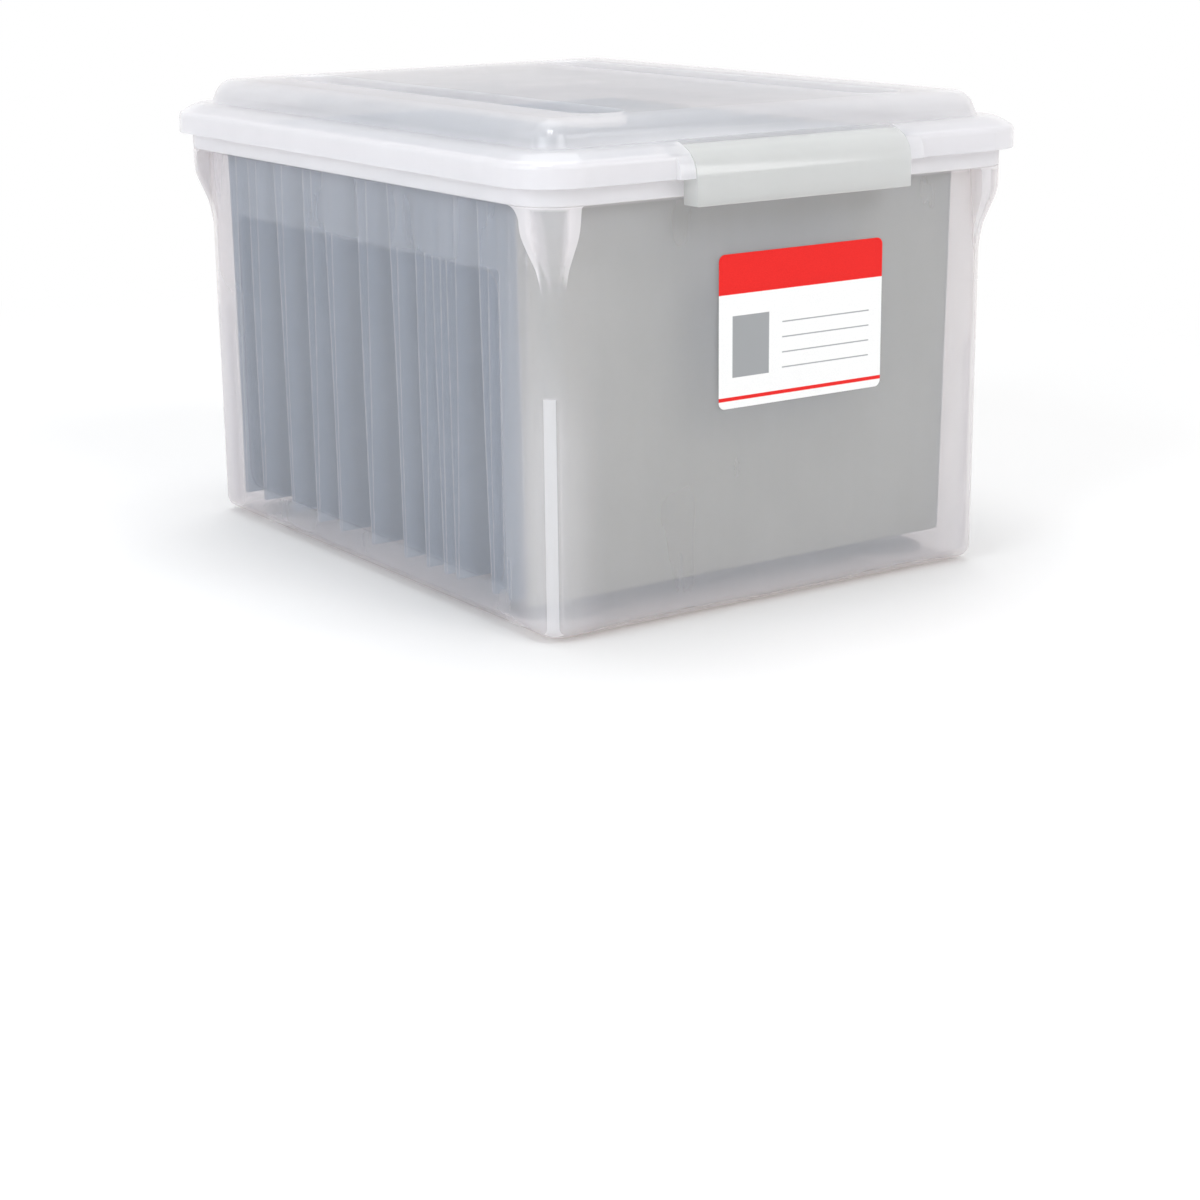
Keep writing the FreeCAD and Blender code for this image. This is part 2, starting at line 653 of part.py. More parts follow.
# Folders hang in a row on the two rails
def jacket(name, place, swing):
    """A folded sheet: two leaves from their hems to the fold, with a bar's tunnel in each hem."""
    middle = f"({place} * box_length / 2)"
    fold = f"({middle} + {swing} * bar_spread)"
    low = f"({FLOOR} + jacket_floor_gap)"
    hem = "(bar_thickness / 2 + hem_clear + paper)"
    top = f"({BAR_TOP} + paper)"
    hem_low = f"({BAR_LOW} - hem_clear - paper)"
    front, rear = f"({middle} - bar_spread / 2)", f"({middle} + bar_spread / 2)"
    sketch = new_sketch(doc, f"{name.title().replace('_', '')}Profile", YZ)
    outside = [(f"{front} - {hem}", top), (f"{front} - {hem}", hem_low), (f"{front} - paper / 2", hem_low),
               (f"{fold} - fold_width / 2", low), (f"{fold} + fold_width / 2", low),
               (f"{rear} + paper / 2", hem_low), (f"{rear} + {hem}", hem_low), (f"{rear} + {hem}", top)]
    inside = [(f"{rear} - {hem}", top), (f"{rear} - {hem}", hem_low), (f"{rear} - paper / 2", hem_low),
              (f"{fold} + fold_width / 2 - paper", f"{low} + paper"),
              (f"{fold} - fold_width / 2 + paper", f"{low} + paper"),
              (f"{front} + paper / 2", hem_low), (f"{front} + {hem}", hem_low), (f"{front} + {hem}", top)]
    draw_loop(sketch, outside + inside)
    for spot in (front, rear):
        near, far = f"{spot} - {hem} + paper", f"{spot} + {hem} - paper"
        draw_loop(sketch, [(near, f"{hem_low} + paper"), (far, f"{hem_low} + paper"),
                           (far, f"{top} - paper"), (near, f"{top} - paper")])
    width = "box_width - 2 * box_wall - 2 * jacket_side_gap"
    return node(name, extrude(sketch, width))


def hanger_bar(name, place, side):
    """A steel strip whose notched ends hook over the rails."""
    sketch = new_sketch(doc, f"{name.title().replace('_', '')}Profile", XZ)
    bind(sketch, Placement__Base__y=f"{place} * box_length / 2 + {side} * bar_spread / 2")
    inner = "(box_width / 2 - box_wall - hook_side_clear)"
    outer = "(box_width / 2 + hook_side_clear)"
    end = f"({outer} + hook_tip)"
    right = [(inner, BAR_LOW), (inner, RAIL_TOP), (outer, RAIL_TOP), (outer, BAR_LOW), (end, BAR_LOW),
             (end, BAR_TOP)]
    left = [(f"-{across}", up) for across, up in reversed(right)]
    draw_loop(sketch, right + left)
    return node(name, extrude(sketch, "bar_thickness"))


for count, (place_share, swing_share) in enumerate(zip(FOLDER_PLACE_SHARES, FOLDER_SWING_SHARES), start=1):
    jacket(f"folder_{count:02d}_jacket", place_share, swing_share)
    hanger_bar(f"folder_{count:02d}_front_bar", place_share, -1)
    hanger_bar(f"folder_{count:02d}_rear_bar", place_share, 1)

doc.recompute()

# Every object has to be sound before anything is written
for item in doc.Objects:
    if "Invalid" in item.State or "Error" in item.State:
        raise RuntimeError(f"{item.Label} failed: {item.State}")
for name, item in nodes.items():
    if item.Shape.isNull() or not item.Shape.isValid() or not item.Shape.Solids:
        raise RuntimeError(f"{name} has no sound solid")

os.makedirs("parts", exist_ok=True)
for name, item in nodes.items():
    item.Shape.exportStep(f"parts/{name}.step")
    box = item.Shape.BoundBox
    print(f"{name}: {len(item.Shape.Solids)} solid(s), {item.Shape.Volume / 1000:.2f} cm3,"
          f" x {box.XMin:.1f} to {box.XMax:.1f}, y {box.YMin:.1f} to {box.YMax:.1f},"
          f" z {box.ZMin:.1f} to {box.ZMax:.1f}")
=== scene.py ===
"""Looks of a translucent file box: frosted plastics, hanging card folders, steel bars, a plain sticker.

Metres, in the frame's own axes: +Z up, the labelled front towards -Y.
"""
import math
from functools import cached_property

import bpy
from mathutils import Matrix, Vector

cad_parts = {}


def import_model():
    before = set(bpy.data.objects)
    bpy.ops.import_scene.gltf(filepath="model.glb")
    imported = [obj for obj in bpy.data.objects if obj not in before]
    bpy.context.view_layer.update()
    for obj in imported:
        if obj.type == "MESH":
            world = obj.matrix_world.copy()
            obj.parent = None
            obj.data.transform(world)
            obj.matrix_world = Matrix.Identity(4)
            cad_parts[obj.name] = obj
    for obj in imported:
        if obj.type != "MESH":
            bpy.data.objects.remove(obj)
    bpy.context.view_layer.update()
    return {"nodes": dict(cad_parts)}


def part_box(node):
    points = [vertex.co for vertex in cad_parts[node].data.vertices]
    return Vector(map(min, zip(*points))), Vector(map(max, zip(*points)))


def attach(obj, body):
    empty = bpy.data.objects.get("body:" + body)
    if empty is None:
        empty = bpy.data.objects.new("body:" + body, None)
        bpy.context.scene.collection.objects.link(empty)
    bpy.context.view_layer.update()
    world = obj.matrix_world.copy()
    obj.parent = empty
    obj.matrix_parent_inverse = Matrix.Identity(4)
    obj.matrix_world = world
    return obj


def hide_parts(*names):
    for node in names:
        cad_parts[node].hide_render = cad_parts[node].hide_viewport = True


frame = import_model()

MM = 0.001
WHITE = (1, 1, 1, 1)
LABEL_LOW, LABEL_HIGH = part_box("front_label")
NODES = frame["nodes"]

# The photograph's camera: where it stands, how it is turned, and its lens on a 36 mm wide sensor
CAMERA_PLACE = Vector((-0.86328, -1.28428, 0.39946))
CAMERA_YAW = math.radians(34.304)
CAMERA_PITCH = math.radians(16.013)
CAMERA_ROLL = math.radians(-0.641)
SENSOR = 36.0
LENS = 75.3
CLIP_NEAR = 0.01
CLIP_FAR = 100

# The tub: inner faces of its walls, their thickness, the round of its corners, the ledge under its rim
TUB_X = 153.3 * MM
TUB_Y = 197.3 * MM
TUB_WALL = 2 * MM
TUB_CORNER = 14 * MM
RIM_LOW = 238 * MM
RIM_FADE_BELOW = 3 * MM
RIM_FADE_ABOVE = 1 * MM
RIM_HAZE_SHARE = 2.8

# Clear window panels in the tub's long sides: how far they stay from its ends, their levels and soft edge
PANEL_END = 44 * MM
PANEL_LOW = 25.2 * MM
PANEL_HIGH = 199 * MM
PANEL_EDGE = 3 * MM
PANEL_FADE_FROM = TUB_X - 2 * MM
PANEL_FADE_TO = TUB_X - 1 * MM
PANEL_HAZE_SHARE = 0.72

# The tub's upright corners, whiter low down: partly denser plastic, partly painted light from the floor,
# with painted shade under the rim higher up
CORNER_REACH = 40 * MM
CORNER_FADE_FROM = 90 * MM
CORNER_FADE_TO = 190 * MM
CORNER_HAZE_SHARE = 1.4

# Ribs across the tub's corners, inside
RIB_TOP = 136 * MM
RIB_REACH = 8 * MM
RIB_HAZE_SHARE = 2.6

# Flared ears at the tub's corners: how far outside the corner's round they start and are full white,
# and how much of that is left in their clear middle, which the direction from the round's middle finds
EAR_FROM = TUB_CORNER + 0.2 * MM
EAR_FULL = TUB_CORNER + 2.0 * MM
EAR_HAZE_SHARE = 2.1
EAR_MIDDLE_SHARE = 0.3
EAR_MIDDLE_X_SHARES = (0.12, 0.30)
EAR_MIDDLE_Y_SHARES = (0.40, 0.58)
LEAST_REACH = 1 * MM

# The lid's flange, whiter than its dome
FLANGE_TOP = 266.6 * MM
FLANGE_FADE_FROM = FLANGE_TOP - 2 * MM
FLANGE_FADE_TO = FLANGE_TOP + 4 * MM
FLANGE_HAZE_SHARE = 1.28

# Frosted plastic: how much its haze and gloss vary, its moulded grain, and the haze of its two tints
PLASTIC_IOR = 1.7
CLOUD_SPREAD = 0.03
FLOW_SPREAD = 0.015
GLOSS_SPREAD = 0.005
MOULD_GRAIN = 0.02 * MM
BACK_TINT_SHARE = 0.95
DENSE_TINT_SHARE = 2.0

# Card of the folders, and the pale painted highlight along its upright edges, where they catch the light
CARD = 0.35 * MM
CARD_WRAP = 0.85 * MM
CARD_FLAP = 9 * MM
CARD_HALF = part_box("folder_01_jacket")[1].x
CARD_GRAIN = 0.012 * MM
EDGE_HIGHLIGHT_JITTER = 0.4 * MM
EDGE_HIGHLIGHT_FROM = CARD_HALF - 0.6 * MM
EDGE_HIGHLIGHT_FULL = CARD_HALF - 0.1 * MM
FIBRE_SHARE = 0.6
HEM_SINK = 0.4 * MM
FOLD_ROUND = 1.4 * MM
FOLD_DEPTH = 0.1 * MM
LEAF_STEPS = 26
ACROSS_STEPS = 24
TURN_STEPS = 6
# How far each folder's two leaves bow, front to rear, in shares of the largest bow
LARGEST_BOW = 1.3 * MM
FRONT_BOW_SHARES = (0.3, -0.5, 0.7, -0.9, 0.2, -0.4, 0.9, -0.8, 0.6, -0.7, 0.8, -0.5, 0.4)
REAR_BOW_SHARES = (-0.2, 0.4, 0.9, 0.3, -0.2, 0.8, -0.6, 0.7, -0.9, 0.5, -0.6, 0.9, -0.3)
# A ripple across the card: its height, its radians per metre, and its shift from folder to folder
RIPPLE = 0.5 * MM
RIPPLE_RATE = 21
RIPPLE_SHIFT = 2.1

# The sticker's print, in shares of its width and height
PRINT_EDGE_SHARE = 0.002
HEAD_BAND_SHARE = 0.74
FOOT_LINE_SHARES = (0.05, 0.075)
FIELD_ACROSS_SHARES = (0.08, 0.3)
FIELD_UP_SHARES = (0.2, 0.6)
RULES_ACROSS_SHARES = (0.38, 0.92)
RULE_LEVEL_SHARES = (0.22, 0.32, 0.42, 0.52)
RULE_WIDTH_SHARE = 0.008

# Grain of the other finishes
STEEL_GRAIN = 0.02 * MM
PAPER_GRAIN = 0.01 * MM
DISC_GRAIN = 0.02 * MM

# Edges that meet at less than this are shaded round
ROUND_ANGLE = math.radians(28)

# The stage: the floor's reach, the backdrop that it runs up into, and where its shadows fade to white
FLOOR_HALF = 9.0
FLOOR_FRONT = -6.0
FLOOR_BACK = 5.0
BACKDROP_ROUND = 3.0
BACKDROP_TOP = 8.0
BACKDROP_STEPS = 12
SHADOW_KEPT = 0.45
SHADOW_GONE = 1.1
SURROUND_LIGHT = 0.44
SURROUND_SEEN = 1.0
LAMPS_AIM = Vector((0, 0, 0.15))


class Shading:
    """The node tree of one material or world, built by short calls that return sockets."""

    def __init__(self, owner):
        self.owner = owner
        owner.use_nodes = True
        self.tree = owner.node_tree
        self.tree.nodes.clear()

    @cached_property
    def place(self):
        """The place on the object."""
        return self.node("ShaderNodeTexCoord").outputs["Object"]

    def node(self, kind, settings=None, **inputs):
        """Adds a node; inputs are given by name or place, as numbers, colours or sockets."""
        made = self.tree.nodes.new(kind)
        for key, setting in (settings or {}).items():
            setattr(made, key, setting)
        for key, given in inputs.items():
            name = key.replace("_", " ")
            socket = made.inputs[int(key[1:])] if key[1:].isdigit() else made.inputs[name]
            if isinstance(given, bpy.types.NodeSocket):
                self.tree.links.new(given, socket)
            else:
                socket.default_value = given
        return made

    def math(self, operation, first, second=0.0, clamp=False):
        """A sum, product or other calculation on two numbers."""
        made = self.node("ShaderNodeMath", {"operation": operation, "use_clamp": clamp}, i0=first, i1=second)
        return made.outputs[0]

    def ramp(self, value, low, high, start=0.0, end=1.0, smooth=True):
        """A number that goes from start to end as the value goes from low to high."""
        kind = "SMOOTHSTEP" if smooth else "LINEAR"
        made = self.node("ShaderNodeMapRange", {"interpolation_type": kind}, Value=value,
                         From_Min=low, From_Max=high, To_Min=start, To_Max=end)
        return made.outputs["Result"]

    def within(self, part, share):
        """One where the part is zero, and the share where the part is one."""
        return self.ramp(part, 0.0, 1.0, 1.0, share)

    def between(self, value, low, high, edge):
        """One inside a band with soft edges, zero outside."""
        rise = self.ramp(value, low - edge, low + edge)
        fall = self.ramp(value, high - edge, high + edge, 1.0, 0.0)
        return self.math("MULTIPLY", rise, fall)

    def noise(self, scale, detail=3.0, rough=0.55, stretch=(1, 1, 1)):
        """Noise of a scale per metre, stretched along the axes."""
        place = self.node("ShaderNodeMapping", Vector=self.place, Scale=stretch).outputs[0]
        return self.node("ShaderNodeTexNoise", Vector=place, Scale=scale, Detail=detail,
                         Roughness=rough).outputs["Fac"]

    def axes(self):
        """The three coordinates of the place."""
        made = self.node("ShaderNodeSeparateXYZ", Vector=self.place)
        return made.outputs["X"], made.outputs["Y"], made.outputs["Z"]

    def length(self, vector):
        """The length of a vector."""
        return self.node("ShaderNodeVectorMath", {"operation": "LENGTH"}, i0=vector).outputs["Value"]

    def seen(self):
        """One for rays that bring a thing into view, also by gloss; zero for light on other surfaces."""
        path = self.node("ShaderNodeLightPath").outputs
        direct = self.math("MAXIMUM", path["Is Camera Ray"], path["Is Glossy Ray"])
        return self.math("MAXIMUM", direct, path["Is Transmission Ray"])

    def blend(self, share, first, second):
        """A colour between two colours."""
        made = self.node("ShaderNodeMix", {"data_type": "RGBA"}, i0=share, i6=first, i7=second)
        return made.outputs[2]

    def bump(self, height, distance, strength):
        """A normal from a height."""
        made = self.node("ShaderNodeBump", Height=height, Distance=distance, Strength=strength)
        return made.outputs["Normal"]

    def skin(self, tone, rough, normal, **more):
        """A surface's own shader."""
        made = self.node("ShaderNodeBsdfPrincipled", Base_Color=tone, Roughness=rough, Normal=normal, **more)
        return made.outputs[0]

    def mix(self, share, first, second):
        """A mix of two shaders."""
        return self.node("ShaderNodeMixShader", i0=share, i1=first, i2=second).outputs[0]

    def finish(self, shader):
        """Ends the tree of a material and returns the material."""
        self.node("ShaderNodeOutputMaterial", Surface=shader)
        return self.owner


def shading(name):
    """The empty tree of a new material."""
    return Shading(bpy.data.materials.new(name))


def frosted(name, *, haze, back_tint, dense_tint, through_tint, clear_tint, gloss_rough, through_share,
            zone=None):
    """Moulded translucent plastic: part of the light passes straight, the rest is scattered back and
    through. The haze is the scattered share at one face. A zone scales it by place, and the denser the
    plastic is there, the more its dense tint shows."""
    s = shading(name)
    cloud = s.ramp(s.noise(scale=9.0, detail=2.0), 0.3, 0.7, 1 - CLOUD_SPREAD, 1 + CLOUD_SPREAD)
    streaks = s.noise(scale=26.0, detail=4.0, stretch=(1, 1, 0.16))
    flow = s.ramp(streaks, 0.35, 0.7, 1 - FLOW_SPREAD, 1 + FLOW_SPREAD)
    share = s.math("MULTIPLY", cloud, flow)
    share = s.math("MULTIPLY", share, haze if zone is None else zone(s, haze), clamp=True)
    normal = s.bump(s.noise(scale=34.0, detail=2.0), MOULD_GRAIN, strength=0.05)
    rough = s.ramp(s.noise(scale=40.0, detail=2.0), 0.3, 0.7,
                   gloss_rough - GLOSS_SPREAD, gloss_rough + GLOSS_SPREAD)
    density = s.ramp(share, haze * BACK_TINT_SHARE, haze * DENSE_TINT_SHARE, smooth=False)
    tone = s.blend(density, back_tint, dense_tint)
    skin = s.skin(tone, rough, normal, IOR=PLASTIC_IOR)
    glow = s.node("ShaderNodeBsdfTranslucent", Color=through_tint, Normal=normal)
    clear = s.node("ShaderNodeBsdfTransparent", Color=clear_tint)
    scattered = s.mix(through_share, skin, glow.outputs[0])
    return s.finish(s.mix(share, clear.outputs[0], scattered))


def in_panels(s, away_x, y, z):
    """One inside the clear panels of the tub's long sides."""
    side = s.ramp(away_x, PANEL_FADE_FROM, PANEL_FADE_TO)
    end = TUB_Y - PANEL_END
    along = s.between(y, -end, end, PANEL_EDGE)
    upright = s.between(z, PANEL_LOW, PANEL_HIGH, PANEL_EDGE)
    return s.math("MULTIPLY", side, s.math("MULTIPLY", along, upright))


def in_corners(s, around, z):
    """One in the tub's upright corners low down, less higher up and along the walls. The whiteness low down
    is partly denser plastic and partly painted light from the floor; its fall higher up is painted shade
    under the rim.
    """
    near = s.ramp(around, TUB_X + TUB_Y - CORNER_REACH, TUB_X + TUB_Y)
    painted_light_low_down = s.ramp(z, CORNER_FADE_FROM, CORNER_FADE_TO, 1.0, 0.0)
    return s.math("MULTIPLY", near, painted_light_low_down)


def in_ribs(s, away_x, away_y, around, z):
    """One in the ribs across the tub's corners."""
    inside = s.math("MULTIPLY", s.math("LESS_THAN", away_x, TUB_X), s.math("LESS_THAN", away_y, TUB_Y))
    nook = s.math("GREATER_THAN", around, TUB_X + TUB_Y - RIB_REACH)
    return s.math("MULTIPLY", s.math("MULTIPLY", inside, nook), s.math("LESS_THAN", z, RIB_TOP))


def in_ears(s, away_x, away_y):
    """One in the flared ears at the tub's corners, less in their clear middle."""
    past_x = s.math("MAXIMUM", s.math("SUBTRACT", away_x, TUB_X + TUB_WALL - TUB_CORNER), 0.0)
    past_y = s.math("MAXIMUM", s.math("SUBTRACT", away_y, TUB_Y + TUB_WALL - TUB_CORNER), 0.0)
    reach = s.length(s.node("ShaderNodeCombineXYZ", X=past_x, Y=past_y).outputs[0])
    some_reach = s.math("MAXIMUM", reach, LEAST_REACH)
    middle = s.math("MULTIPLY", s.ramp(s.math("DIVIDE", past_y, some_reach), *EAR_MIDDLE_Y_SHARES),
                    s.ramp(s.math("DIVIDE", past_x, some_reach), *EAR_MIDDLE_X_SHARES))
    return s.math("MULTIPLY", s.ramp(reach, EAR_FROM, EAR_FULL), s.within(middle, EAR_MIDDLE_SHARE))


def tub_zone(s, haze):
    """The tub is clearer inside its side panels, and whiter towards its corners, in its ears and rim,
    and in the ribs across its corners."""
    x, y, z = s.axes()
    away_x = s.math("ABSOLUTE", x)
    away_y = s.math("ABSOLUTE", y)
    around = s.math("ADD", away_x, away_y)
    clear = s.within(in_panels(s, away_x, y, z), PANEL_HAZE_SHARE)
    whiter = s.ramp(z, RIM_LOW - RIM_FADE_BELOW, RIM_LOW + RIM_FADE_ABOVE, 1.0, RIM_HAZE_SHARE)
    for part, share in ((in_ears(s, away_x, away_y), EAR_HAZE_SHARE),
                        (in_ribs(s, away_x, away_y, around, z), RIB_HAZE_SHARE),
                        (in_corners(s, around, z), CORNER_HAZE_SHARE)):
        whiter = s.math("MAXIMUM", whiter, s.within(part, share))
    return s.math("MULTIPLY", s.math("MULTIPLY", clear, whiter), haze)


def lid_zone(s, haze):
    """The lid is whiter in its flange and skirt than in its dome."""
    _, _, z = s.axes()
    return s.ramp(z, FLANGE_FADE_FROM, FLANGE_FADE_TO, haze * FLANGE_HAZE_SHARE, haze)


def card(name, colour, paler, edge_highlight):
    """Coloured card with fibres, mottling and a pale painted highlight along its upright edges."""
    s = shading(name)
    fibre = s.noise(scale=420.0, detail=5.0, rough=0.65, stretch=(1, 1, 0.35))
    mottle = s.noise(scale=24.0)
    tone = s.math("ADD", s.math("MULTIPLY", fibre, FIBRE_SHARE), s.math("MULTIPLY", mottle, 1 - FIBRE_SHARE))
    mixed = s.blend(s.ramp(tone, 0.3, 0.72), colour, paler)
    x, _, _ = s.axes()
    # Painted highlight: the card turns pale towards its upright edges, where they catch the light
    near_edge = s.math("ADD", s.math("ABSOLUTE", x), s.ramp(fibre, 0.2, 0.8, -EDGE_HIGHLIGHT_JITTER, EDGE_HIGHLIGHT_JITTER))
    mixed = s.blend(s.ramp(near_edge, EDGE_HIGHLIGHT_FROM, EDGE_HIGHLIGHT_FULL), mixed, edge_highlight)
    rough = s.ramp(fibre, 0.2, 0.8, 0.72, 0.9)
    return s.finish(s.skin(mixed, rough, s.bump(fibre, CARD_GRAIN, strength=0.5)))


def steel(name):
    """Rolled strip with fine lines along its length."""
    s = shading(name)
    lines = s.noise(scale=900.0, detail=4.0, rough=0.6, stretch=(0.03, 1, 1))
    tone = s.blend(s.ramp(lines, 0.3, 0.7), (0.36, 0.37, 0.39, 1), (0.58, 0.59, 0.61, 1))
    rough = s.ramp(lines, 0.25, 0.75, 0.28, 0.42)
    return s.finish(s.skin(tone, rough, s.bump(lines, STEEL_GRAIN, strength=0.6), Metallic=1.0))


def sticker(name):
    """A white printed sticker: a red head band and foot line, a grey field and ruled lines."""
    s = shading(name)
    x, _, z = s.axes()
    u = s.ramp(x, LABEL_LOW.x, LABEL_HIGH.x, smooth=False)
    v = s.ramp(z, LABEL_LOW.z, LABEL_HIGH.z, smooth=False)

    def patch(across, up):
        """One inside a rectangle of the print."""
        along = s.between(u, *across, PRINT_EDGE_SHARE)
        return s.math("MULTIPLY", along, s.between(v, *up, PRINT_EDGE_SHARE))

    grain = s.noise(scale=1800.0)
    paper = s.blend(s.ramp(grain, 0.3, 0.7), (0.84, 0.84, 0.84, 1), (0.90, 0.90, 0.89, 1))
    red = s.blend(s.ramp(grain, 0.35, 0.65), (0.74, 0.008, 0.006, 1), (0.80, 0.014, 0.011, 1))
    head = s.ramp(v, HEAD_BAND_SHARE - PRINT_EDGE_SHARE, HEAD_BAND_SHARE + PRINT_EDGE_SHARE)
    reds = s.math("ADD", head, s.between(v, *FOOT_LINE_SHARES, PRINT_EDGE_SHARE), clamp=True)
    greys = patch(FIELD_ACROSS_SHARES, FIELD_UP_SHARES)
    for level in RULE_LEVEL_SHARES:
        rule = patch(RULES_ACROSS_SHARES, (level, level + RULE_WIDTH_SHARE))
        greys = s.math("ADD", greys, rule, clamp=True)
    printed = s.blend(greys, s.blend(reds, paper, red), (0.33, 0.34, 0.35, 1))
    rough = s.ramp(grain, 0.3, 0.7, 0.38, 0.5)
    normal = s.bump(grain, PAPER_GRAIN, strength=0.4)
    return s.finish(s.skin(printed, rough, normal, Specular_IOR_Level=0.25))


def glide(name):
    """Hard plastic with mottling and a fine grain."""
    s = shading(name)
    mottle = s.noise(scale=120.0, detail=4.0)
    tone = s.blend(s.ramp(mottle, 0.3, 0.7), (0.60, 0.61, 0.62, 1), (0.68, 0.69, 0.70, 1))
    rough = s.ramp(mottle, 0.3, 0.7, 0.3, 0.42)
    return s.finish(s.skin(tone, rough, s.bump(s.noise(scale=700.0), DISC_GRAIN, strength=0.5)))


BOX_PLASTIC = frosted("frosted_box", haze=0.29, gloss_rough=0.20, through_share=0.35, zone=tub_zone,
                      back_tint=(0.79, 0.85, 0.93, 1), dense_tint=(0.84, 0.87, 0.915, 1),
                      through_tint=(1.0, 0.93, 0.905, 1), clear_tint=(0.985, 0.96, 0.95, 1))
LID_PLASTIC = frosted("frosted_lid", haze=0.46, gloss_rough=0.16, through_share=0.35, zone=lid_zone,
                      back_tint=(0.835, 0.86, 0.905, 1), dense_tint=(0.86, 0.88, 0.92, 1),
                      through_tint=(0.975, 0.95, 0.943, 1), clear_tint=(0.98, 0.963, 0.955, 1))
LATCH_PLASTIC = frosted("frosted_latch", haze=0.56, gloss_rough=0.12, through_share=0.3,
                        back_tint=(0.825, 0.835, 0.83, 1), dense_tint=(0.84, 0.845, 0.84, 1),
                        through_tint=(0.83, 0.835, 0.83, 1), clear_tint=(0.89, 0.90, 0.895, 1))
GLIDE_PLASTIC = glide("glide_plastic")
STICKER = sticker("sticker_print")
STEEL = steel("rolled_steel")
# Pale colour of the painted highlight along the folders' upright edges
CARD_EDGE_HIGHLIGHT = (0.36, 0.39, 0.43, 1)
CARD_FACE = card("folder_card", (0.15, 0.213, 0.305, 1), (0.195, 0.262, 0.36, 1), CARD_EDGE_HIGHLIGHT)
FIRST_CARD_FACE = card("first_folder_card", (0.25, 0.26, 0.215, 1), (0.285, 0.295, 0.25, 1), CARD_EDGE_HIGHLIGHT)
# The card's cut edge is paler than its face: partly its own colour, partly a painted highlight of the lit
# edges
CARD_EDGE = card("folder_card_edge", (0.43, 0.46, 0.50, 1), (0.53, 0.56, 0.59, 1), CARD_EDGE_HIGHLIGHT)


def dress(node, material):
    """Gives a node of the frame its finish, in all its slots."""
    slots = NODES[node].data.materials
    slots.clear()
    slots.append(material)


for node in NODES:
    if node.endswith("_bar"):
        dress(node, STEEL)
    elif node.endswith("_disc"):
        dress(node, GLIDE_PLASTIC)
    elif node.endswith("_latch"):
        dress(node, LATCH_PLASTIC)
dress("box_body", BOX_PLASTIC)
dress("lid", LID_PLASTIC)
dress("front_label", STICKER)


def smooth_rounds():
    """A modifier's node group that shades round faces smooth and keeps creases."""
    group = bpy.data.node_groups.new("smooth_rounds", "GeometryNodeTree")
    group.interface.new_socket("Geometry", in_out="INPUT", socket_type="NodeSocketGeometry")
    group.interface.new_socket("Geometry", in_out="OUTPUT", socket_type="NodeSocketGeometry")
    start = group.nodes.new("NodeGroupInput")
    faces = group.nodes.new("GeometryNodeSetShadeSmooth")
    angle = group.nodes.new("GeometryNodeInputMeshEdgeAngle")
    less = group.nodes.new("FunctionNodeCompare")
    less.operation = "LESS_EQUAL"
    less.inputs[1].default_value = ROUND_ANGLE
    edges = group.nodes.new("GeometryNodeSetShadeSmooth")
    edges.domain = "EDGE"
    end = group.nodes.new("NodeGroupOutput")
    for source, target in ((start.outputs[0], faces.inputs[0]),
                           (faces.outputs[0], edges.inputs[0]),
                           (angle.outputs["Unsigned Angle"], less.inputs[0]),
                           (less.outputs[0], edges.inputs["Shade Smooth"]),
                           (edges.outputs[0], end.inputs[0])):
        group.links.new(source, target)
    return group


def fold_middle(node):
    """Where a folder's bottom fold lies along Y."""
    places = [vertex.co for vertex in NODES[node].data.vertices]
    lowest = min(place.z for place in places)
    fold = [place.y for place in places if place.z < lowest + FOLD_DEPTH]
    return (min(fold) + max(fold)) / 2


def hem_points(bar, inward):
    """Middle line of the card round one bar, from the flap's end inside to the outside of the hem."""
    low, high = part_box(bar)
    middle = (low.y + high.y) / 2
    crown = high.z - HEM_SINK
    points = [(middle + inward * CARD_WRAP, low.z - CARD_FLAP), (middle + inward * CARD_WRAP, low.z)]
    for step in range(TURN_STEPS + 1):
        turn = math.pi * step / TURN_STEPS
        points.append((middle + inward * CARD_WRAP * math.cos(turn), crown + CARD_WRAP * math.sin(turn)))
    points.append((middle - inward * CARD_WRAP, low.z))
    return points


def leaf_points(top, foot, bow):
    """Middle line of one leaf, from under its hem down to the fold, with a bow."""
    points = []
    for step in range(1, LEAF_STEPS + 1):
        share = step / LEAF_STEPS
        place = Vector(top).lerp(Vector(foot), share)
        points.append((place.x + bow * math.sin(math.pi * share), place.y))
    return points


def folder_line(name, number, low):
    """Middle line of a folder's card, from one flap over both hems and round the fold to the other flap."""
    fold = fold_middle(f"{name}_jacket")
    level = low.z + CARD / 2 + FOLD_ROUND
    front = hem_points(f"{name}_front_bar", 1)
    rear = hem_points(f"{name}_rear_bar", -1)
    front += leaf_points(front[-1], (fold - FOLD_ROUND, level), LARGEST_BOW * FRONT_BOW_SHARES[number - 1])
    rear += leaf_points(rear[-1], (fold + FOLD_ROUND, level), LARGEST_BOW * REAR_BOW_SHARES[number - 1])
    bottom = []
    for step in range(1, TURN_STEPS):
        turn = math.pi * step / TURN_STEPS
        bottom.append((fold - FOLD_ROUND * math.cos(turn), level - FOLD_ROUND * math.sin(turn)))
    return front + bottom + rear[::-1]


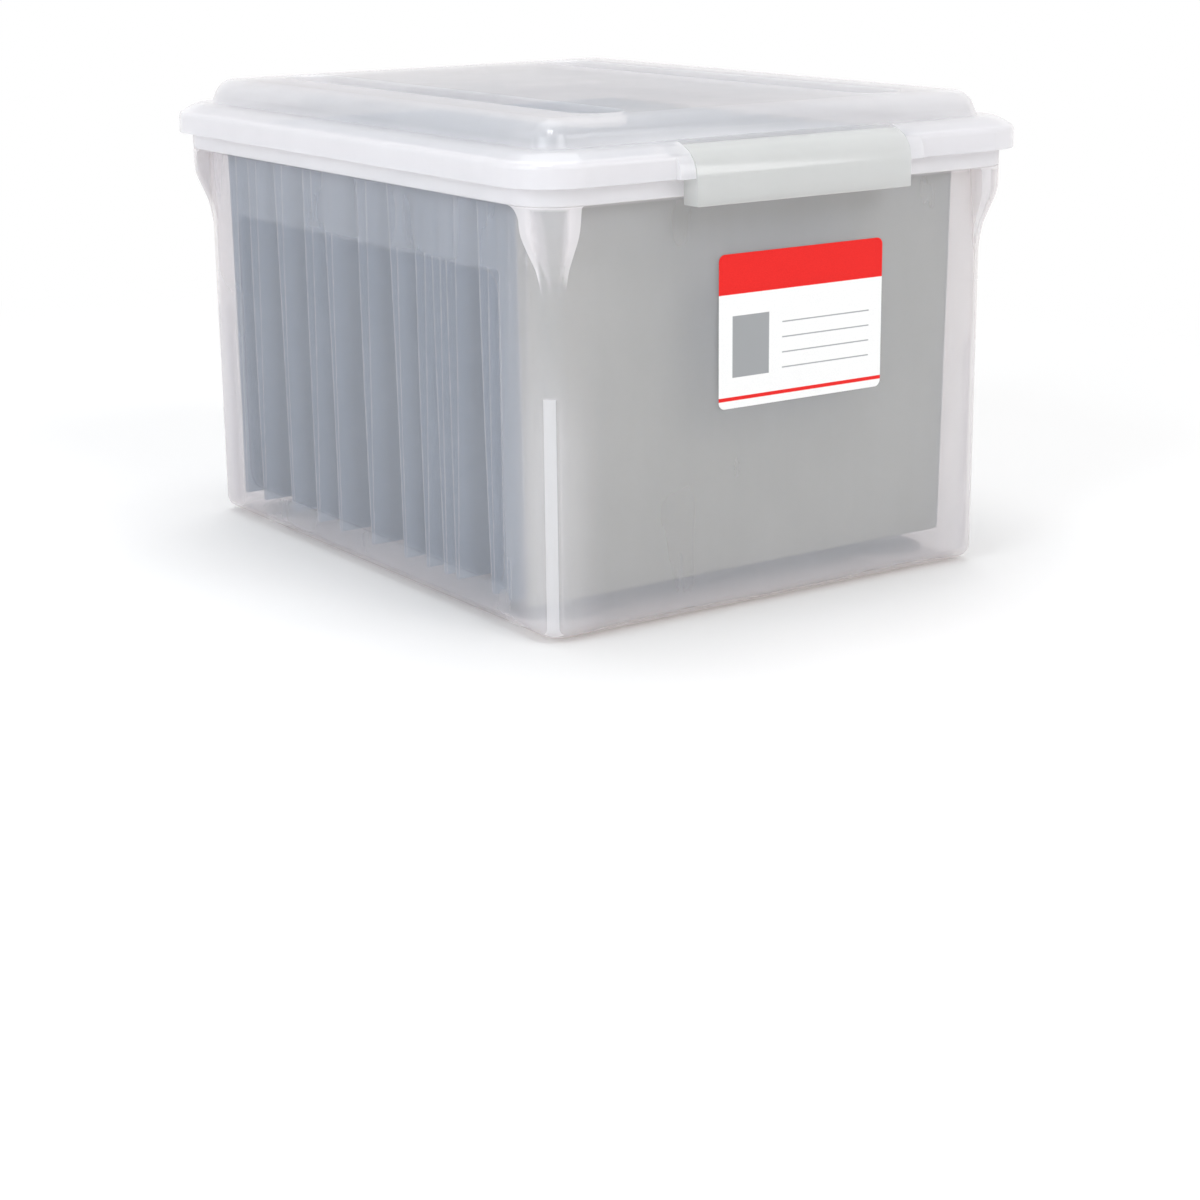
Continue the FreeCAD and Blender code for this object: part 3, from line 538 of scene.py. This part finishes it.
def folder_jacket(number):
    """One folded card with a hem round each of its two bars."""
    name = f"folder_{number:02d}"
    node = f"{name}_jacket"
    low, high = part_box(node)
    line = folder_line(name, number, low)
    vertices = []
    for column in range(ACROSS_STEPS + 1):
        x = low.x + (high.x - low.x) * column / ACROSS_STEPS
        for y, z in line:
            slack = math.sin(math.pi * (z - low.z) / (high.z - low.z))
            ripple = RIPPLE * slack * math.sin(RIPPLE_RATE * x + RIPPLE_SHIFT * number)
            vertices.append((x, y + ripple, z))
    count = len(line)
    faces = [(c * count + r, c * count + r + 1, (c + 1) * count + r + 1, (c + 1) * count + r)
             for c in range(ACROSS_STEPS) for r in range(count - 1)]
    mesh = bpy.data.meshes.new(f"{name}_card")
    mesh.from_pydata(vertices, [], faces)
    mesh.materials.append(FIRST_CARD_FACE if number == 1 else CARD_FACE)
    mesh.materials.append(CARD_EDGE)
    mesh.shade_smooth()
    piece = bpy.data.objects.new(f"{name}_card", mesh)
    bpy.context.scene.collection.objects.link(piece)
    body = piece.modifiers.new("thickness", "SOLIDIFY")
    body.thickness = CARD
    body.offset = 0
    body.material_offset_rim = 1
    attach(piece, name)
    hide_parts(node)


for number in range(1, len(FRONT_BOW_SHARES) + 1):
    folder_jacket(number)

SMOOTH = smooth_rounds()
for node in ("box_body", "lid", "front_latch", "rear_latch"):
    NODES[node].modifiers.new("smooth_rounds", "NODES").node_group = SMOOTH


def floor_paper():
    """Pale paper that keeps the box's shadow and is seen as white further away."""
    s = shading("floor_paper")
    matte = s.node("ShaderNodeBsdfDiffuse", Color=(0.84, 0.84, 0.84, 1))
    white = s.node("ShaderNodeEmission", Color=WHITE, Strength=1.0)
    share = s.math("MULTIPLY", s.seen(), s.ramp(s.length(s.place), SHADOW_KEPT, SHADOW_GONE))
    return s.finish(s.mix(share, matte.outputs[0], white.outputs[0]))


def floor():
    """A large pale sheet, level under the box and curved up far behind it, as the camera looks."""
    line = [(FLOOR_FRONT, 0.0), (FLOOR_BACK, 0.0)]
    for step in range(1, BACKDROP_STEPS + 1):
        turn = math.pi / 2 * step / BACKDROP_STEPS
        line.append((FLOOR_BACK + BACKDROP_ROUND * math.sin(turn), BACKDROP_ROUND * (1 - math.cos(turn))))
    line.append((FLOOR_BACK + BACKDROP_ROUND, BACKDROP_TOP))
    vertices = [(x, y, z) for y, z in line for x in (-FLOOR_HALF, FLOOR_HALF)]
    faces = [(2 * i, 2 * i + 1, 2 * i + 3, 2 * i + 2) for i in range(len(line) - 1)]
    mesh = bpy.data.meshes.new("floor")
    mesh.from_pydata(vertices, [], faces)
    mesh.shade_smooth()
    mesh.transform(Matrix.Rotation(-CAMERA_YAW, 4, "Z"))
    mesh.materials.append(floor_paper())
    piece = bpy.data.objects.new("floor", mesh)
    bpy.context.scene.collection.objects.link(piece)


def lamp(name, place, size, power, colour=(1, 1, 1), only_gloss=False):
    """A soft lamp that looks at the box, or one that is seen only as a highlight."""
    light = bpy.data.lights.new(name, "AREA")
    light.shape = "RECTANGLE"
    light.size, light.size_y = size
    light.energy = power
    light.color = colour
    piece = bpy.data.objects.new(name, light)
    piece.location = place
    piece.rotation_euler = (LAMPS_AIM - Vector(place)).to_track_quat("-Z", "Y").to_euler()
    piece.visible_diffuse = not only_gloss
    piece.visible_transmission = not only_gloss
    bpy.context.scene.collection.objects.link(piece)


def world():
    """An even pale surround, white where it is seen."""
    made = bpy.data.worlds.new("surround")
    s = Shading(made)
    strength = s.ramp(s.seen(), 0.0, 1.0, SURROUND_LIGHT, SURROUND_SEEN, smooth=False)
    back = s.node("ShaderNodeBackground", Color=WHITE, Strength=strength)
    s.node("ShaderNodeOutputWorld", Surface=back.outputs[0])
    bpy.context.scene.world = made


def camera():
    """The photograph's camera."""
    ahead = Vector((math.sin(CAMERA_YAW) * math.cos(CAMERA_PITCH),
                    math.cos(CAMERA_YAW) * math.cos(CAMERA_PITCH), -math.sin(CAMERA_PITCH)))
    level = Vector((math.cos(CAMERA_YAW), -math.sin(CAMERA_YAW), 0))
    upright = level.cross(ahead)
    right = math.cos(CAMERA_ROLL) * level + math.sin(CAMERA_ROLL) * upright
    up = math.cos(CAMERA_ROLL) * upright - math.sin(CAMERA_ROLL) * level
    data = bpy.data.cameras.new("camera")
    data.sensor_width = SENSOR
    data.lens = LENS
    data.clip_start = CLIP_NEAR
    data.clip_end = CLIP_FAR
    piece = bpy.data.objects.new("camera", data)
    turn = Matrix((right, up, -ahead)).transposed().to_4x4()
    piece.matrix_world = Matrix.Translation(CAMERA_PLACE) @ turn
    bpy.context.scene.collection.objects.link(piece)
    bpy.context.scene.camera = piece


floor()
world()
camera()
lamp("key", place=(0.3, -2.7, 2.0), size=(1.4, 1.4), power=32)
lamp("strip", place=(1.22, -1.78, 1.0), size=(0.25, 1.2), power=5)
lamp("fill", place=(-2.8, -0.6, 1.4), size=(2.0, 2.0), power=52, colour=(0.94, 0.97, 1.0))
lamp("top", place=(0.2, 0.6, 2.8), size=(2.4, 2.4), power=54)
lamp("spark", place=(-1.0, -0.85, 2.42), size=(0.7, 0.7), power=32, only_gloss=True)
bpy.context.scene.view_settings.view_transform = "Standard"
